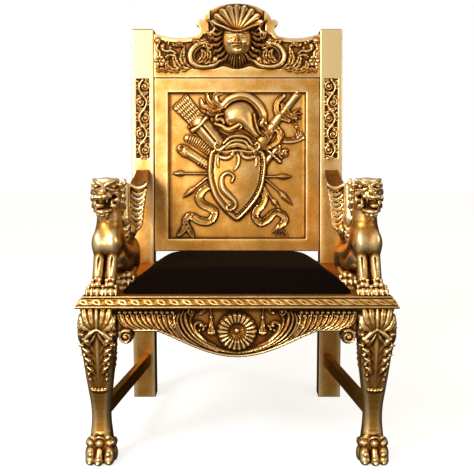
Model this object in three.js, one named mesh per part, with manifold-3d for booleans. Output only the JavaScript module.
// A carved and gilded throne in the Renaissance manner: raked back with a trophy panel and a shell and
// mask crest, winged lion arms, a drop-in upholstered seat and carved front legs with lion's paw feet.
// Units are millimetres, +Z is up, the front looks along -Y, and the origin is on the floor under the
// middle of the whole throne.
import * as THREE from "three";
import { mergeVertices } from "three/addons/utils/BufferGeometryUtils.js";
import Module from "manifold-3d";

const wasm = await Module();
wasm.setup();

// ---------------------------------------------------------------- driving dimensions
const THRONE = { depth: 768, front: -384, fit: 0.3 };
const SEAT = {
  top: 470,
  underside: 438,
  frontHalf: 430,
  backHalf: 379,
  opening: 302,
  openingBack: 268,
  openingFront: -338,
  eggs: 18,
};
const BACK = {
  front: 244,
  thickness: 66,
  bend: 450,
  lean: 74 / 810,
  outer: 357,
  inner: 282,
  top: 1260,
  railLine: 1095,
  foot: 508,
};
const VINE = { low: 824, high: 1092, half: 23, deep: 6 };
const LEG = { x: 368, back: -277, ankleBack: -290 };
const APRON = { front: -354, thickness: 34, side: 371, drop: 70, half: 319 };
const STRETCHER = { bottom: 113, height: 41, width: 20, inward: 11 };
const CREST = {
  thickness: 40,
  archHalf: 116,
  archTop: 1345,
  spring: 1284,
  ear: 129,
  shoulder: 1243,
  dip: 1222,
};
const PANEL = { setback: 8, thickness: 34, recess: 10, half: 236, low: 549, high: 1047 };
const ARM = { front: -330, x: 358, slope: 36 / 580, top: 784 };
const WING = { x: 318, front: -64, inward: 25, web: 17, half: 25 };

const GOLD = new THREE.MeshStandardMaterial({ color: 0xb8862f, roughness: 0.38, metalness: 0.85 });
const VELVET = new THREE.MeshStandardMaterial({ color: 0x1a0e09, roughness: 0.95, metalness: 0 });

// ---------------------------------------------------------------- solids
const FRONT = new THREE.Vector3(0, -1, 0);
const UP = new THREE.Vector3(0, 0, 1);
const RIGHT = new THREE.Vector3(1, 0, 0);

// A three.js geometry as a manifold solid, turned the right way out.
function solid(geometry) {
  const bare = geometry.clone();
  for (const name of Object.keys(bare.attributes)) if (name !== "position") bare.deleteAttribute(name);
  const merged = mergeVertices(bare, 1e-4);
  const points = merged.attributes.position.array;
  const triangles = new Uint32Array(merged.index.array);
  if (signedVolume(points, triangles) < 0) flip(triangles);
  return new wasm.Manifold(
    new wasm.Mesh({ numProp: 3, vertProperties: new Float32Array(points), triVerts: triangles }),
  );
}

function signedVolume(points, triangles) {
  const corner = (i) => new THREE.Vector3().fromArray(points, 3 * i);
  let six = 0;
  for (let i = 0; i < triangles.length; i += 3) {
    const [a, b, c] = [corner(triangles[i]), corner(triangles[i + 1]), corner(triangles[i + 2])];
    six += a.dot(b.cross(c));
  }
  return six;
}

function flip(triangles) {
  for (let i = 0; i < triangles.length; i += 3)
    [triangles[i + 1], triangles[i + 2]] = [triangles[i + 2], triangles[i + 1]];
}

// A manifold solid as a three.js geometry.
function geometryOf(piece) {
  const { vertProperties, triVerts } = piece.getMesh();
  const geometry = new THREE.BufferGeometry();
  geometry.setAttribute("position", new THREE.BufferAttribute(new Float32Array(vertProperties), 3));
  geometry.setIndex(new THREE.BufferAttribute(new Uint32Array(triVerts), 1));
  return geometry;
}

const join = (pieces) => wasm.Manifold.union(pieces);

function box(x0, x1, y0, y1, z0, z1) {
  const made = new THREE.BoxGeometry(x1 - x0, y1 - y0, z1 - z0);
  return solid(made.translate((x0 + x1) / 2, (y0 + y1) / 2, (z0 + z1) / 2));
}

// A closed skin over rings of points, with a fan of triangles over each end.
function loft(rings) {
  const sides = rings[0].length;
  const vertices = rings.flat();
  const centre = (ring) => ring.reduce((sum, p) => sum.add(p), new THREE.Vector3()).divideScalar(sides);
  vertices.push(centre(rings[0]), centre(rings.at(-1)));
  const low = vertices.length - 2;
  const last = (rings.length - 1) * sides;
  const faces = [];
  for (let j = 0; j < sides; j++) {
    const next = (j + 1) % sides;
    for (let i = 0; i < rings.length - 1; i++) {
      const [a, b, c, d] = [i * sides + j, i * sides + next, (i + 1) * sides + next, (i + 1) * sides + j];
      faces.push(a, b, c, a, c, d);
    }
    faces.push(low, next, j, low + 1, last + j, last + next);
  }
  const geometry = new THREE.BufferGeometry().setFromPoints(vertices);
  return solid(geometry.setIndex(faces));
}

// The value at a share t of the way along a list, running straight between its entries.
function along(list, t) {
  if (typeof list === "number") return list;
  const place = t * (list.length - 1);
  const i = Math.min(Math.floor(place), list.length - 2);
  return THREE.MathUtils.lerp(list[i], list[i + 1], place - i);
}

// A limb or a raised stroke: a section of half sizes wide and high, carried along a smooth line. High
// is measured towards up, where the section has an edge, and wide across it.
function sweep({ line, wide, high, up = FRONT, stations = 3, sides = 3 }) {
  const curve = new THREE.CatmullRomCurve3(line.map((p) => new THREE.Vector3(...p)));
  const rings = [];
  for (let i = 0; i < stations; i++) {
    const t = i / (stations - 1);
    const tangent = curve.getTangent(t);
    const across = new THREE.Vector3().crossVectors(tangent, up).normalize();
    const out = new THREE.Vector3().crossVectors(across, tangent).normalize();
    const centre = curve.getPoint(t);
    const section = Array.from({ length: sides }, (_, k) => {
      const angle = Math.PI / 2 + (2 * Math.PI * k) / sides;
      const point = centre.clone().addScaledVector(across, along(wide, t) * Math.cos(angle));
      return point.addScaledVector(out, along(high, t) * Math.sin(angle));
    });
    rings.push(section);
  }
  return loft(rings);
}

// An ellipsoid with few faces, tilted about the X axis.
function ball([x, y, z], [rx, ry, rz], around = 6, rows = 4, tilt = 0) {
  const made = new THREE.SphereGeometry(1, around, rows).rotateX(Math.PI / 2).scale(rx, ry, rz);
  return solid(made.rotateX(tilt).translate(x, y, z));
}

// A board cut to an outline of [x, z] points, from its front face at y back by its thickness.
function board(outline, y, thickness) {
  const shape = new THREE.Shape(outline.map(([x, z]) => new THREE.Vector2(x, z)));
  const made = new THREE.ExtrudeGeometry(shape, { depth: thickness, bevelEnabled: false, steps: 1 });
  return solid(made.rotateX(Math.PI / 2).translate(0, y + thickness, 0));
}

// Points of a spiral in the plane of the board, from the outside in.
function scroll([x, y, z], outer, inner, turns, start, steps = 7) {
  return Array.from({ length: steps }, (_, i) => {
    const t = i / (steps - 1);
    const radius = THREE.MathUtils.lerp(outer, inner, t);
    const angle = start + 2 * Math.PI * turns * t;
    return [x + radius * Math.cos(angle), y, z + radius * Math.sin(angle)];
  });
}

const mirrorPoint = ([x, y, z]) => [-x, y, z];

// A stroke and its mirror image on the other side of the middle.
function strokePair(options) {
  return [sweep(options), sweep({ ...options, line: options.line.map(mirrorPoint) })];
}

function mirrored(piece) {
  const geometry = geometryOf(piece);
  geometry.scale(-1, 1, 1);
  return solid(geometry);
}

// Leans an upright piece of the back with the rake of the posts.
function raked(piece) {
  const shear = new THREE.Matrix4().makeShear(0, 0, 0, 0, 0, BACK.lean);
  shear.setPosition(0, -BACK.lean * BACK.bend, 0);
  return solid(geometryOf(piece).applyMatrix4(shear));
}

// ---------------------------------------------------------------- back posts and rear legs
function backPost() {
  const { front, thickness, bend, lean, outer, inner, top } = BACK;
  const chamfer = 9;
  const ring = (z, inset = 0) => {
    const y = front + Math.max(0, z - bend) * lean;
    const corners = [
      [inner + inset, y],
      [outer - inset, y],
      [outer - inset, y + thickness],
      [inner + inset, y + thickness],
    ];
    return corners.map(([x, depth]) => new THREE.Vector3(x, depth, z));
  };
  const post = loft([ring(0, 3), ring(4), ring(bend), ring(top - chamfer), ring(top, chamfer)]);
  const { low, high, half, deep } = VINE;
  const middle = (outer + inner) / 2;
  const sunk = box(middle - half, middle + half, front - 9, front + deep, low, high);
  const room = box(middle - half, middle + half, front - 2, front + 20, low, high);
  return post.subtract(raked(sunk)).add(raked(join(postVine(middle)).intersect(room)));
}

// The vine that winds up the sunk panel of a post: an S stem with a curl in each bend.
function postVine(middle) {
  const { low, high, deep } = VINE;
  const bends = 4;
  const step = (high - low) / bends;
  const y = BACK.front + deep;
  const stem = Array.from({ length: 2 * bends + 1 }, (_, i) => [
    middle + 13 * Math.sin((i * Math.PI) / 2),
    y,
    low + (i * step) / 2,
  ]);
  const pieces = [sweep({ line: stem, wide: 6, high: 7, stations: 2 * bends + 1 })];
  for (let i = 0; i < bends; i++) {
    const side = i % 2 ? 1 : -1;
    pieces.push(ball([middle + 9 * side, y, low + step * (i + 0.5)], [12, 7, 12], 5, 3));
  }
  return pieces;
}

// ---------------------------------------------------------------- seat
// The outline of the seat frame in plan at a height, drawn in from its widest line.
function seatRing(z, inset) {
  const { frontHalf, backHalf } = SEAT;
  const back = BACK.front - THRONE.fit;
  return [
    [-frontHalf + inset, THRONE.front + inset],
    [frontHalf - inset, THRONE.front + inset],
    [backHalf - inset, back],
    [-backHalf + inset, back],
  ].map(([x, y]) => new THREE.Vector3(x, y, z));
}

// The moulded frame before it is cut at its mitres, without the carved eggs.
function seatFrame() {
  const { top, underside, opening, openingBack } = SEAT;
  const profile = [
    [0, 0],
    [8, 0],
    [8, 3],
    [13, 4],
    [19, 8],
    [25, 15],
    [28, 21],
    [32, 21],
  ];
  const body = loft(profile.map(([rise, inset]) => seatRing(underside + rise, inset)));
  const corners = [
    [-opening, SEAT.openingFront],
    [opening, SEAT.openingFront],
    [openingBack, 260],
    [-openingBack, 260],
  ];
  const hole = loft([underside - 5, top + 5].map((z) => corners.map(([x, y]) => new THREE.Vector3(x, y, z))));
  return body.subtract(hole);
}

// A vertical plane through the mitre at a front corner: its normal points forward.
function mitre(side) {
  const run = new THREE.Vector2(SEAT.frontHalf - SEAT.opening, SEAT.openingFront - THRONE.front);
  const normal = new THREE.Vector2(run.y * -side, -run.x).normalize();
  const offset = normal.x * side * SEAT.frontHalf + normal.y * THRONE.front;
  return { normal: [normal.x, normal.y, 0], offset };
}

function frontSeatRail() {
  const { frontHalf, underside, eggs } = SEAT;
  let rail = seatFrame();
  for (const side of [-1, 1]) {
    const { normal, offset } = mitre(side);
    rail = rail.trimByPlane(normal, offset + THRONE.fit / 2);
  }
  const pitch = (2 * (frontHalf - 32)) / eggs;
  const row = Array.from({ length: eggs }, (_, i) => {
    const x = (i - (eggs - 1) / 2) * pitch;
    return ball([x, THRONE.front + 9.4, underside + 16.5], [pitch * 0.42, 8.6, 8.5], 4, 2, 0.6);
  });
  return join([rail, ...row]);
}

function sideSeatRail() {
  const { normal, offset } = mitre(1);
  const back = normal.map((v) => -v);
  return seatFrame().trimByPlane(back, -offset + THRONE.fit / 2).trimByPlane([1, 0, 0], SEAT.openingBack - 5);
}

function rearRail() {
  const gap = THRONE.fit;
  return box(-BACK.inner + gap, BACK.inner - gap, BACK.front + 6, BACK.front + 44, 396, SEAT.top);
}

// The stuffed drop-in seat: flat below, where it sits in the frame, and crowned above.
function seatCushion() {
  const gap = THRONE.fit + 0.7;
  const { opening, openingBack, openingFront } = SEAT;
  const ring = (z, inset, round) => {
    const points = [];
    const [frontY, backY] = [openingFront + gap + inset, 243 - inset];
    const half = (y) => THREE.MathUtils.mapLinear(y, openingFront, 260, opening, openingBack) - gap - inset;
    const corners = [
      [1, frontY, -90],
      [1, backY, 0],
      [-1, backY, 90],
      [-1, frontY, 180],
    ];
    for (const [side, y, start] of corners)
      for (const turn of [0, 45, 90]) {
        const angle = THREE.MathUtils.degToRad(start + turn);
        const inward = y > 0 ? y - round : y + round;
        const centre = new THREE.Vector3(side * (half(y) - round), inward, z);
        points.push(centre.add(new THREE.Vector3(Math.cos(angle), Math.sin(angle), 0).multiplyScalar(round)));
      }
    return points;
  };
  return loft([
    ring(SEAT.underside + 3, 0, 6),
    ring(SEAT.top + 2, 0, 10),
    ring(SEAT.top + 20, 4, 24),
    ring(SEAT.top + 38, 22, 50),
    ring(SEAT.top + 51, 62, 80),
    ring(SEAT.top + 58, 120, 100),
    ring(SEAT.top + 61, 200, 80),
  ]);
}

// ---------------------------------------------------------------- aprons and stretchers
// The lower edge of the front apron: level by the legs, dipping to the middle.
function apronEdge(x) {
  const reach = 216;
  const swing = Math.max(0, Math.cos((Math.PI / 2) * Math.min(1, Math.abs(x) / reach)));
  return APRON.side - APRON.drop * swing ** 1.2;
}

function frontApron() {
  const { front, thickness, half, side } = APRON;
  const top = SEAT.underside - THRONE.fit;
  const steps = 16;
  const outline = [[-half, top], [-half, side]];
  for (let i = 0; i <= steps; i++) {
    const x = THREE.MathUtils.lerp(-216, 216, i / steps);
    outline.push([x, apronEdge(x)]);
  }
  outline.push([half, side], [half, top]);
  const carving = [...gadroons(), ...apronLeaves(), ...rosette([0, front, 372], 51)];
  const pieces = [board(outline, front, thickness), ...carving];
  // The curled ends that hang beside the legs.
  for (const x of [-298, 298]) {
    const curl = new THREE.CylinderGeometry(20, 20, thickness - 4, 10);
    pieces.push(solid(curl.translate(x, front + thickness / 2, 358)));
  }
  return join(pieces).intersect(box(-half, half, front - 30, front + thickness, 200, top));
}

// Slanting flutes between the leg and the leaves, leaning towards the middle at the foot.
function gadroons() {
  const count = 6;
  const spacing = 21;
  const { front } = APRON;
  const flutes = Array.from({ length: count }, (_, i) => {
    const x = 303 - i * spacing;
    const foot = x - 36;
    const line = [[x, front, 425], [x - 12, front, 400], [foot, front, Math.max(apronEdge(foot) + 7, 376)]];
    return strokePair({ line, wide: [8, 10, 5], high: [8, 12, 6] });
  });
  return flutes.flat();
}

// The long leaves that sweep from the top of the apron down to the middle.
function apronLeaves() {
  const { front } = APRON;
  const leaves = [0, 16, 32].map((shift) => {
    const line = [
      [88 + shift, front, 421 - shift * 0.2],
      [104 + shift, front - 3, 378],
      [78 + shift * 1.2, front - 4, 340 + shift * 0.35],
      [6 + shift * 1.6, front - 2, 311 + shift * 0.3],
    ];
    return strokePair({ line, wide: [4, 8, 8, 5], high: [8, 14, 14, 9], stations: 4 });
  });
  return leaves.flat();
}

// A round flower of petals about a centre.
function rosette([x, y, z], radius) {
  const petals = 12;
  const made = [ball([x, y, z], [radius * 0.36, 11, radius * 0.36], 6, 3)];
  for (let i = 0; i < petals; i++) {
    const angle = (2 * Math.PI * i) / petals;
    const at = (share) => [x + radius * share * Math.cos(angle), y, z + radius * share * Math.sin(angle)];
    made.push(sweep({ line: [at(0.2), at(1)], wide: [2, 11], high: [8, 12], stations: 2 }));
  }
  return made;
}

// The plain boards at the sides, set in with the taper of the seat.
function sideApron() {
  const [top, bottom, thickness] = [SEAT.underside - THRONE.fit, 360, 28];
  const start = [LEG.x - 10, LEG.back + THRONE.fit];
  const end = [BACK.outer - 27, BACK.front - THRONE.fit];
  return plank(start, end, thickness, bottom, top);
}

function stretcher() {
  const start = [LEG.x + 4, LEG.ankleBack + THRONE.fit];
  const end = [(BACK.outer + BACK.inner) / 2 - STRETCHER.inward, BACK.front - THRONE.fit];
  return plank(start, end, STRETCHER.width, STRETCHER.bottom, STRETCHER.bottom + STRETCHER.height);
}

// A straight plank between two points in plan, cut square to the depth of the throne.
function plank([x0, y0], [x1, y1], thickness, bottom, top) {
  const half = thickness / 2;
  const ring = (x, y) =>
    [
      [x - half, bottom],
      [x + half, bottom],
      [x + half, top],
      [x - half, top],
    ].map(([across, z]) => new THREE.Vector3(across, y, z));
  return loft([ring(x0, y0), ring(x1, y1)]);
}

// ---------------------------------------------------------------- front legs
// Sections of the leg from the seat down: height, half width, front face, back face.
const LEG_SECTIONS = [
  [SEAT.underside - THRONE.fit, 40, -362, LEG.back],
  [390, 41, -368, LEG.back],
  [345, 40, -368, LEG.back],
  [280, 36, -363, -281],
  [213, 30, -351, -287],
  [160, 25, -342, LEG.ankleBack],
  [112, 26, -341, LEG.ankleBack],
  [50, 32, -352, -287],
];

function frontLeg() {
  const bevel = 6;
  const rings = LEG_SECTIONS.map(([z, half, front, back]) => {
    const rightSide = [
      [half - bevel, front],
      [half, front + bevel],
      [half, back - bevel],
      [half - bevel, back],
    ];
    const leftSide = rightSide.map(([x, y]) => [-x, y]).reverse();
    return [...rightSide, ...leftSide].map(([x, y]) => new THREE.Vector3(x, y, z));
  });
  const pieces = [loft(rings), ...legLeaf(), ...paw(), ball([0, -350, 212], [21, 8, 7], 6, 3)];
  pieces.push(ball([38, -320, 376], [13, 27, 29], 5, 5));
  return join(pieces)
    .trimByPlane([0, 0, 1], 0)
    .trimByPlane([0, 0, -1], THRONE.fit - SEAT.underside)
    .translate([LEG.x, 0, 0]);
}

// The front face and half width of the leg at a height.
function legFace(z) {
  const i = Math.max(1, LEG_SECTIONS.findIndex(([height]) => height <= z));
  const [upper, lower] = [LEG_SECTIONS[i - 1], LEG_SECTIONS[i]];
  const t = (upper[0] - z) / (upper[0] - lower[0]);
  const { lerp } = THREE.MathUtils;
  return { half: lerp(upper[1], lower[1], t), y: lerp(upper[2], lower[2], t) };
}

// Acanthus on the knee: a rib, lobes that curl out of it, and a fan of short leaves at the top.
function legLeaf() {
  const at = (x, z) => [x, legFace(z).y, z];
  const pieces = [sweep({ line: [at(0, 424), at(0, 340), at(0, 222)], wide: [5, 9, 4], high: [7, 11, 6] })];
  const lobes = 3;
  for (let i = 0; i < lobes; i++) {
    const z = 354 - i * 38;
    const reach = legFace(z).half - 6;
    for (const side of [-1, 1]) {
      const line = [at(2 * side, z - 30), at(reach * side, z)];
      pieces.push(sweep({ line, wide: [6, 15], high: [6, 11], stations: 2 }));
    }
  }
  for (const [x, z] of [
    [15, 421],
    [31, 412],
    [36, 386],
  ])
    for (const side of [-1, 1]) {
      const line = [at(3 * side, 362), at(x * side, z)];
      pieces.push(sweep({ line, wide: [4, 9], high: [5, 10], stations: 2 }));
    }
  return pieces;
}

// A lion's paw: knuckles above and toes below, spread about the front of the ankle.
function paw() {
  const y = -322;
  const made = [ball([0, y - 4, 26], [34, 40, 34], 7, 3)];
  for (const degrees of [-78, -27, 27, 78]) {
    const turn = THREE.MathUtils.degToRad(degrees);
    const facing = new THREE.Vector3(Math.sin(turn), -Math.cos(turn), 0);
    const out = (reach, z) => [0.84 * reach * facing.x, y + 1.24 * reach * facing.y, z];
    const line = [out(26, 86), out(36, 66), out(35, 44), out(40, 22), out(32, 2)];
    made.push(sweep({ line, wide: [10, 17, 14, 19, 13], high: [8, 13, 8, 13, 8], up: facing, stations: 5 }));
  }
  return made;
}

// ---------------------------------------------------------------- back panel
function backPanel() {
  const { setback, thickness, recess, half, low, high } = PANEL;
  const gap = THRONE.fit;
  const y = BACK.front + setback;
  const frame = box(-BACK.inner + gap, BACK.inner - gap, y, y + thickness, BACK.foot, BACK.railLine - gap);
  const bevel = 10;
  const ring = (depth, inset) =>
    [
      [-half + inset, low + inset],
      [half - inset, low + inset],
      [half - inset, high - inset],
      [-half + inset, high - inset],
    ].map(([x, z]) => new THREE.Vector3(x, depth, z));
  const sunk = loft([ring(y - 2, 0), ring(y + 2, 0), ring(y + recess, bevel)]);
  return raked(join([frame.subtract(sunk), ...trophy(y + recess)]));
}

// A trophy of arms carved in the sunk field: spears, quiver, horn, torch, ribbons, helmet and shield.
function trophy(y) {
  return [...spears(y), ...quiverAndHorn(y), ...torch(y), ...ribbons(y), ...helmet(y), ...shield(y)];
}

// A stroke drawn flat on the panel through [x, z] points.
function carve(y, points, wide, high, options = {}) {
  return sweep({ line: points.map(([x, z]) => [x, y, z]), wide, high, ...options });
}

// Spears and arrows that cross behind the shield, each given by the place of its point.
function spears(y) {
  const points = [
    [-208, 762],
    [-178, 702],
    [168, 758],
    [172, 690],
    [128, 672],
  ];
  return points.flatMap(([x, z]) => {
    const at = (share) => [x * share, THREE.MathUtils.lerp(796, z, share)];
    return [
      carve(y, [at(0.1), at(0.8)], 5, 7, { stations: 2 }),
      carve(y, [at(0.72), at(0.84), at(1)], [9, 11, 2], [8, 10, 2]),
    ];
  });
}

function quiverAndHorn(y) {
  return [
    carve(y, [[-60, 850], [-118, 930]], [24, 27], [16, 19], { stations: 2, sides: 6 }),
    carve(y, [[-108, 916], [-124, 938]], 31, 22, { stations: 2, sides: 6 }),
    carve(y, [[-112, 920], [-186, 1012]], [22, 31], [14, 16], { stations: 2, sides: 6 }),
    carve(y, [[-90, 800], [-150, 838], [-190, 858]], [13, 15, 20], [12, 13, 15], { sides: 5 }),
    carve(y, [[-92, 828], [-158, 890]], [10, 19], [9, 12], { stations: 2 }),
  ];
}

function torch(y) {
  const scarf = [[60, 780], [118, 830], [150, 862], [196, 884]];
  return [
    carve(y, [[40, 840], [172, 1020]], [22, 13], [19, 14], { stations: 2, sides: 6 }),
    carve(y, [[86, 900], [112, 928]], [28, 22], 20, { stations: 2, sides: 6 }),
    carve(y, scarf, [16, 17, 10, 15], [12, 14, 9, 10], { stations: 4 }),
  ];
}

function ribbons(y) {
  const about = [[122, 1000], [104, 962], [150, 936], [166, 974]];
  const below = [[66, 716], [102, 690], [78, 650], [112, 622], [140, 608], [158, 574]];
  const fall = (side) => below.map(([x, z]) => [side * x - 6, z]);
  return [
    carve(y, about, [7, 11, 11, 6], [14, 20, 20, 12], { stations: 5 }),
    carve(y, fall(-1), [8, 12, 10, 13, 10, 16], [9, 14, 10, 14, 12, 11], { stations: 8 }),
    carve(y, fall(1), [8, 12, 10, 13, 10, 16], [9, 14, 10, 14, 12, 11], { stations: 8 }),
  ];
}

// The shield: a domed heater form with a raised rim and a curling device of no meaning.
function shield(y) {
  const edge = [
    [0, 828],
    [26, 816],
    [62, 822],
    [82, 806],
    [82, 730],
    [56, 650],
    [0, 592],
  ];
  const outline = [...edge, ...edge.slice(1, -1).reverse().map(([x, z]) => [-x, z])];
  const ring = (depth, share) =>
    outline.map(([x, z]) => new THREE.Vector3(x * share - 4, depth, 715 + (z - 715) * share));
  const dome = loft([ring(y + 4, 1), ring(y - 15, 1), ring(y - 12, 0.88), ring(y - 22, 0.5)]);
  const device = [[-12, 764], [-38, 750], [-36, 716], [-8, 690], [-4, 652], [-22, 640]];
  return [dome, carve(y - 19, device, [4, 6, 6, 6, 5, 4], 7, { stations: 7 })];
}

// The helmet: a domed skull, a peak that curls up in front, neck rings and a plume over the crest.
function helmet(y) {
  const skull = [[30, 868], [14, 920], [6, 966], [2, 992]];
  const peak = [[-62, 930], [-40, 912], [0, 906], [36, 880], [62, 866]];
  const neck = [[-66, 862], [-30, 884], [12, 880], [44, 856]];
  const plume = [[-104, 990], [-58, 1006], [-10, 1024], [42, 1012], [74, 972], [70, 920], [84, 892]];
  return [
    carve(y, skull, [34, 44, 40, 16], [20, 26, 22, 8], { stations: 4, sides: 6 }),
    carve(y, peak, [6, 9, 9, 9, 5], [18, 28, 28, 24, 16], { stations: 5 }),
    carve(y, neck, [13, 16, 16, 13], [16, 22, 22, 16], { stations: 4 }),
    carve(y, plume, [12, 14, 17, 18, 16, 11, 4], [12, 20, 26, 26, 22, 16, 8], { stations: 8 }),
    carve(y, [[-92, 1022], [-84, 978], [-50, 968]], [6, 11, 6], [10, 14, 10]),
  ];
}

// ---------------------------------------------------------------- crest
// The right half of the crest's outline, from the middle of the arch down to the post.
function crestEdge() {
  const { archHalf, archTop, spring, ear, shoulder, dip } = CREST;
  const points = [];
  for (let i = 0; i <= 7; i++) {
    const angle = Math.PI / 2 - (i * Math.PI) / 15;
    points.push([archHalf * Math.cos(angle), spring + (archTop - spring) * Math.sin(angle)]);
  }
  points.push([ear, 1290], [ear + 8, 1283], [ear + 8, 1274], [ear, 1266], [126, 1254], [131, 1242]);
  for (let i = 1; i <= 6; i++) {
    const t = i / 6;
    const x = THREE.MathUtils.lerp(140, BACK.inner - THRONE.fit, t);
    points.push([x, dip + 12 * (1 - t) ** 3 + (shoulder - dip) * t ** 2.2]);
  }
  return points;
}

function crestRail() {
  const edge = crestEdge();
  const half = BACK.inner - THRONE.fit;
  const right = [...edge, [half, BACK.railLine]];
  const left = right.slice(1).reverse().map(([x, z]) => [-x, z]);
  const y = BACK.front + 4;
  const base = board([...right, ...left], y, CREST.thickness);
  const carving = join([...shell(y), ...mask(y), ...crestScrolls(y)]);
  const bounds = box(-half, half, y - 60, y + 20, BACK.railLine, CREST.archTop + 1);
  return raked(join([base, carving.intersect(bounds)]));
}

// A scallop shell over the mask: ribs fanned from its root, and the curved lip below them.
function shell(y) {
  const ribs = 9;
  const made = [];
  for (let i = 0; i < ribs; i++) {
    const angle = THREE.MathUtils.degToRad(20 + (140 * i) / (ribs - 1));
    const reach = 64 + 30 * Math.abs(Math.cos(angle));
    const at = (share) => [1.1 * reach * share * Math.cos(angle), y, 1272 + reach * share * Math.sin(angle)];
    made.push(sweep({ line: [at(0.2), at(1)], wide: [5, 15], high: [14, 22], stations: 2 }));
  }
  const lip = [[0, y, 1262], [50, y, 1272], [98, y, 1292]];
  made.push(...strokePair({ line: lip, wide: [9, 8, 5], high: [40, 30, 14] }));
  return made;
}

// A calm ornamental mask with leaves for hair and beard.
function mask(y) {
  const nose = [[0, y - 30, 1236], [0, y - 38, 1204]];
  const brow = [[6, y - 30, 1240], [38, y - 18, 1238]];
  const made = [
    ball([0, y, 1210], [42, 34, 58], 7, 5),
    ball([0, y - 30, 1186], [15, 8, 5], 5, 3),
    sweep({ line: nose, wide: [6, 10], high: [7, 10], stations: 2 }),
    carve(y - 10, [[0, 1170], [0, 1140], [0, 1112]], [16, 22, 4], [14, 20, 14]),
    ...strokePair({ line: brow, wide: 4, high: 8, stations: 2 }),
  ];
  for (let i = 0; i < 3; i++) {
    const root = [40 - i * 9, y - 2, 1224 - i * 34];
    const tip = [72 - i * 18, y - 2, 1194 - i * 30];
    made.push(...strokePair({ line: [root, tip], wide: [10, 7], high: [18, 9], stations: 2 }));
  }
  return made;
}

// Acanthus scrolls that run from the mask out to the posts.
function crestScrolls(y) {
  const volute = scroll([136, y, 1156], 46, 14, 0.9, -0.4, 9);
  const leafUnder = [[62, y, 1126], [110, y, 1106], [176, y, 1110], [204, y, 1150]];
  const leafOuter = [[196, y, 1112], [234, y, 1140], [256, y, 1196]];
  const border = [[150, y, 1204], [210, y, 1208], [264, y, 1230]];
  const tendril = [[92, y, 1282], [88, y, 1250], [120, y, 1240]];
  const strokes = [
    { line: volute, wide: [9, 10, 8], high: [14, 20, 16], stations: 7 },
    { line: leafUnder, wide: [4, 10, 11, 8], high: [8, 16, 16, 12], stations: 5 },
    { line: leafOuter, wide: [5, 11, 6], high: [8, 14, 10], stations: 4 },
    { line: border, wide: [4, 5, 7], high: [7, 9, 12], stations: 4 },
    { line: tendril, wide: [6, 8, 8], high: [12, 15, 14], stations: 4 },
  ];
  const made = strokes.flatMap(strokePair);
  for (const side of [-1, 1]) {
    made.push(ball([side * 134, y, 1150], [18, 14, 18], 5, 3));
    made.push(ball([side * 246, y, 1130], [20, 10, 20], 5, 3));
  }
  return made;
}

// ---------------------------------------------------------------- winged lion arms
const armX = (y) => ARM.x - ARM.slope * (y - ARM.front);

// The middle of the wing, which leans towards the seat as it comes forward from the back post.
const wingX = (y) => WING.x - (WING.inward * (BACK.front - y)) / (BACK.front - WING.front);

// A limb: stations are [y, z, half width, half height], in a plane that gives the place across for each depth.
function limb(stations, { shift = 0, sides = 6, plane = armX, ...options } = {}) {
  return sweep({
    line: stations.map(([y, z]) => [plane(y) + shift, y, z]),
    wide: stations.map((s) => s[3]),
    high: stations.map((s) => s[2]),
    up: RIGHT,
    stations: stations.length,
    sides,
    ...options,
  });
}

// A lion that sits back on its haunches: torso, neck, straight forelegs, thighs and tail.
function lionBody() {
  const torso = [
    [-336, 628, 20, 26],
    [-312, 626, 38, 54],
    [-256, 614, 37, 86],
    [-120, 566, 32, 74],
    [-10, 534, 32, 60],
    [44, 508, 20, 34],
  ];
  const neck = [
    [-278, 650, 31, 42],
    [-302, 744, 30, 36],
  ];
  const foreleg = [
    [-312, 630, 18, 24],
    [-322, 560, 13, 15],
    [-328, 492, 12, 13],
  ];
  const shank = [
    [-150, 506, 17, 24],
    [-262, 488, 13, 15],
  ];
  const made = [limb(torso, { sides: 7 }), limb(neck), tail()];
  for (const side of [-1, 1]) {
    made.push(limb(foreleg, { shift: side * 20 }), ...lionPaw(364 + side * 22, -342, 1));
    made.push(ball([armX(-80) + side * 18, -80, 540], [20, 78, 62], 6, 4));
    made.push(limb(shank, { shift: side * 30, sides: 4 }), ...lionPaw(armX(-250) + side * 31, -250, 0.84));
  }
  return made;
}

function tail() {
  const line = [[armX(30) - 6, 30, 494], [armX(110), 110, 482], [armX(190), 190, 488], [armX(206), 206, 524]];
  return sweep({ line, wide: [11, 9, 9, 14], high: [11, 9, 9, 14], up: RIGHT, stations: 5, sides: 4 });
}

function lionPaw(x, y, size) {
  const made = [ball([x, y + 8, SEAT.top + 14], [20 * size, 28 * size, 25 * size], 5, 3)];
  for (const toe of [-1, 0, 1]) {
    const tip = [x + toe * 13 * size, y - (22 - 7 * toe * toe) * size, SEAT.top + 10];
    made.push(ball(tip, [9 * size, 15 * size, 17 * size], 4, 2));
  }
  return made;
}

// The lion's head, turned a little outward: skull, brows, muzzle, open jaw, cheeks and ears.
function lionHead() {
  const made = [
    ball([342, -316, 740], [38, 42, 46], 7, 5),
    ball([357, -356, 728], [29, 24, 16], 6, 3),
    ball([356, -346, 698], [21, 20, 13], 6, 3),
    ball([346, -322, 708], [33, 24, 28], 5, 3),
    sweep({ line: [[350, -344, 770], [358, -374, 738]], wide: [9, 11], high: [10, 9], stations: 2 }),
  ];
  for (const side of [-1, 1]) {
    const line = [[350 + side * 6, -356, 762], [346 + side * 22, -350, 774], [342 + side * 36, -330, 764]];
    made.push(sweep({ line, wide: [6, 8, 5], high: [8, 10, 8] }));
    made.push(ball([342 + side * 38, -300, 768], [11, 12, 17], 4, 3));
  }
  return made;
}

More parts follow.
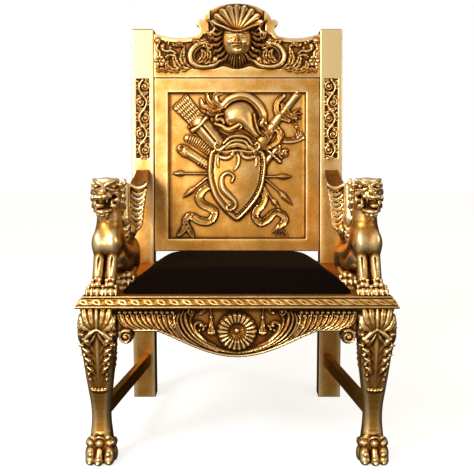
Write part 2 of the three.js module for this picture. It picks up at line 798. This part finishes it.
// The upright web of the wing: a panel with an outline of [y, z] points.
function wingWeb(outline) {
  const shape = new THREE.Shape(outline.map(([y, z]) => new THREE.Vector2(y, z)));
  const made = new THREE.ExtrudeGeometry(shape, { depth: 2 * WING.web, bevelEnabled: false, steps: 1 });
  made.applyMatrix4(new THREE.Matrix4().makeBasis(new THREE.Vector3(0, 1, 0), UP, RIGHT));
  return solid(made.translate(WING.x - WING.web, 0, 0));
}

// The wing that makes the armrest: a smooth leading edge, feathers laid back from it in rows, the
// longest at the top, and a dished rest above them that climbs to the back post.
function wing() {
  const end = BACK.front + (ARM.top - BACK.bend) * BACK.lean + 6;
  const web = [
    [-150, 560],
    [0, 560],
    [60, 600],
    [130, 650],
    [196, 716],
    [end, 728],
    [end, 776],
    [180, 748],
    [80, 738],
    [-60, 752],
    [-100, 740],
  ];
  const edge = [
    [-150, 596, 22, 20],
    [-112, 650, 24, 22],
    [-100, 720, 25, 24],
    [-84, 758, 20, 16],
  ];
  const rest = [
    [WING.front, 748, WING.half, 10],
    [40, 744, WING.half, 11],
    [150, 750, 23, 13],
    [end, 766, 22, 20],
  ];
  const made = [wingWeb(web), limb(edge, { shift: -9 }), limb(rest, { plane: wingX })];
  const feathers = 6;
  for (let i = 0; i < feathers; i++) {
    const t = i / (feathers - 1);
    const root = [-82 - 10 * (1 - t), 642 + 100 * t];
    const tip = [92 + 112 * t, 610 + 116 * t];
    const middle = [(root[0] + tip[0]) / 2, (root[1] + tip[1]) / 2 - 4];
    for (const side of [-1, 1]) {
      const line = [root, middle, tip].map(([y, z]) => [wingX(y) + side * 14, y, z]);
      const up = RIGHT.clone().multiplyScalar(side);
      made.push(sweep({ line, wide: [9, 14, 10], high: [7, 10, 12], up }));
    }
  }
  return made;
}

function armLion() {
  const { front, inner, outer, top, bend, lean } = BACK;
  const made = join([...lionBody(), ...lionHead(), ...wing()]).trimByPlane([0, 0, 1], SEAT.top + THRONE.fit);
  const post = loft(
    [bend - 10, top].map((z) => {
      const y = front - THRONE.fit + (z - bend) * lean;
      const corners = [[inner - 40, y], [outer + 40, y], [outer + 40, y + 120], [inner - 40, y + 120]];
      return corners.map(([x, depth]) => new THREE.Vector3(x, depth, z));
    }),
  );
  return made.subtract(post);
}

// ---------------------------------------------------------------- the throne
const throne = new THREE.Group();

// The outer skin of a piece alone: pockets sealed up between its joined strokes are filled.
function outerSkin(piece) {
  const shells = piece.decompose();
  return shells.reduce((largest, shell) => (shell.volume() > largest.volume() ? shell : largest));
}

function place(name, piece, material = GOLD) {
  const made = new THREE.Mesh(geometryOf(outerSkin(piece)), material);
  made.name = name;
  throne.add(made);
}

function placePair(name, piece) {
  place(name + "_right", piece);
  place(name + "_left", mirrored(piece));
}

placePair("back_post", backPost());
placePair("front_leg", frontLeg());
placePair("side_stretcher", stretcher());
placePair("side_apron", sideApron());
placePair("side_seat_rail", sideSeatRail());
placePair("winged_lion_arm", armLion());
place("front_apron", frontApron());
place("front_seat_rail", frontSeatRail());
place("rear_seat_rail", rearRail());
place("back_panel", backPanel());
place("crest_rail", crestRail());
place("seat_cushion", seatCushion(), VELVET);

export default throne;
